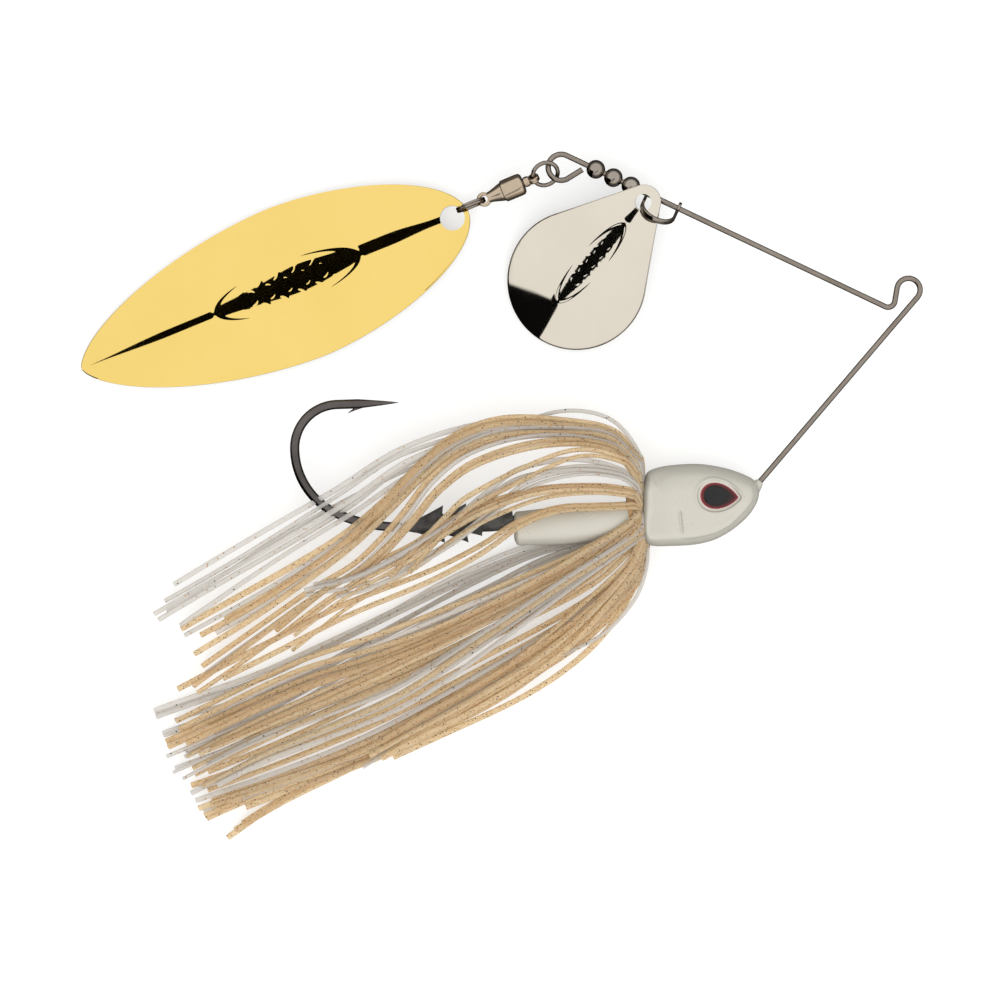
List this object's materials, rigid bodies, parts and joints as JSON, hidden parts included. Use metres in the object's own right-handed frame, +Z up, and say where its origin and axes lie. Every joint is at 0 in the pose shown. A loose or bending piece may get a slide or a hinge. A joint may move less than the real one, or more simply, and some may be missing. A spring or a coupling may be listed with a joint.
{
  "type": "spinnerbait",
  "caption": "Bent-wire fishing lure lying on its side: weighted fish-shaped head, skirted single hook, a round blade on a clevis and a long leaf blade on a swivel.",
  "frame": {"origin": "middle of the lying lure's plan, on the surface it lies on", "axes": "+X along the lure towards the head and line tie, +Y towards the blade arm, +Z up off the surface, square to the wire's plane"},
  "size_m": [0.1354, 0.1116, 0.0134],
  "materials": {
    "wire": "dark stainless spring wire",
    "head_paint": "pearl white paint over a cast weight",
    "hook": "black nickel",
    "keeper": "rough dark coat",
    "eye": "red foil under clear",
    "pupil": "black dome",
    "skirt_tie": "stretched silicone band",
    "skirt_white": "translucent white silicone",
    "skirt_tan": "translucent tan silicone with dark flecks",
    "bead": "polished gunmetal",
    "clevis": "nickel plated strap",
    "round_blade": "mirror nickel",
    "swivel": "bronze-tinted nickel",
    "balls": "polished steel",
    "leaf_blade": "mirror gold"
  },
  "bodies": {
    "lure": {"frame_wire": "wire", "head": "head_paint", "hook": "hook", "keeper": "keeper", "eye_left": "eye", "eye_right": "eye", "pupil_left": "pupil", "pupil_right": "pupil", "skirt_tie": "skirt_tie", "skirt_white": "skirt_white", "skirt_tan": "skirt_tan"},
    "bead_1": {"bead_1": "bead"},
    "bead_2": {"bead_2": "bead"},
    "bead_3": {"bead_3": "bead"},
    "clevis": {"clevis": "clevis"},
    "round_blade": {"round_blade": "round_blade"},
    "front_ring": {"front_ring": "swivel"},
    "swivel_stem": {"swivel_stem": "swivel"},
    "swivel_barrel": {"swivel_barrel": "swivel"},
    "bearing_balls": {"bearing_balls": "balls"},
    "split_ring": {"split_ring": "swivel"},
    "leaf_blade": {"leaf_blade": "leaf_blade"}
  },
  "joints": [
    {"name": "bead_1_slide", "type": "slide", "parent": "lure", "child": "bead_1", "axis": [0.9035, -0.4285, 0], "range_m": [0, 0.008]},
    {"name": "bead_2_slide", "type": "slide", "parent": "bead_1", "child": "bead_2", "axis": [0.9035, -0.4285, 0], "range_m": [0, 0.008]},
    {"name": "bead_3_slide", "type": "slide", "parent": "bead_2", "child": "bead_3", "axis": [0.9035, -0.4285, 0], "range_m": [0, 0.008]},
    {"name": "clevis_spin", "type": "hinge", "parent": "bead_3", "child": "clevis", "pos_m": [0.02604, 0.04782, 0.00485], "axis": [0.9035, -0.4285, 0], "continuous": true},
    {"name": "round_blade_swing", "type": "hinge", "parent": "clevis", "child": "round_blade", "pos_m": [0.0228, 0.04742, 0.00694], "axis": [-0.2755, -0.5808, 0.766], "range_deg": [-20, 20]},
    {"name": "front_ring_swing", "type": "hinge", "parent": "lure", "child": "front_ring", "pos_m": [0.00979, 0.05323, 0.00485], "axis": [0, 0, 1], "range_deg": [-75, 18]},
    {"name": "stem_swing", "type": "hinge", "parent": "front_ring", "child": "swivel_stem", "pos_m": [0.00535, 0.0514, 0.00485], "axis": [-0.2939, 0.7311, 0.6157], "range_deg": [-60, 60]},
    {"name": "barrel_spin", "type": "hinge", "parent": "swivel_stem", "child": "swivel_barrel", "pos_m": [0.00259, 0.05029, 0.00443], "axis": [0.9188, 0.3694, 0.1392], "continuous": true},
    {"name": "ball_roll", "type": "hinge", "parent": "swivel_stem", "child": "bearing_balls", "pos_m": [0.00287, 0.0504, 0.00447], "axis": [0.9188, 0.3694, 0.1392], "continuous": true},
    {"name": "split_ring_swing", "type": "hinge", "parent": "swivel_barrel", "child": "split_ring", "pos_m": [-0.00255, 0.04822, 0.00365], "axis": [-0.1291, -0.0519, 0.9903], "range_deg": [-45, 20]},
    {"name": "leaf_blade_flap", "type": "hinge", "parent": "split_ring", "child": "leaf_blade", "pos_m": [-0.00467, 0.04737, 0.00333], "axis": [0.373, -0.9278, 0], "range_deg": [-60, 60]}
  ],
  "couplings": [
    {"joint": "ball_roll", "follows": "barrel_spin", "ratio": 0.45}
  ]
}
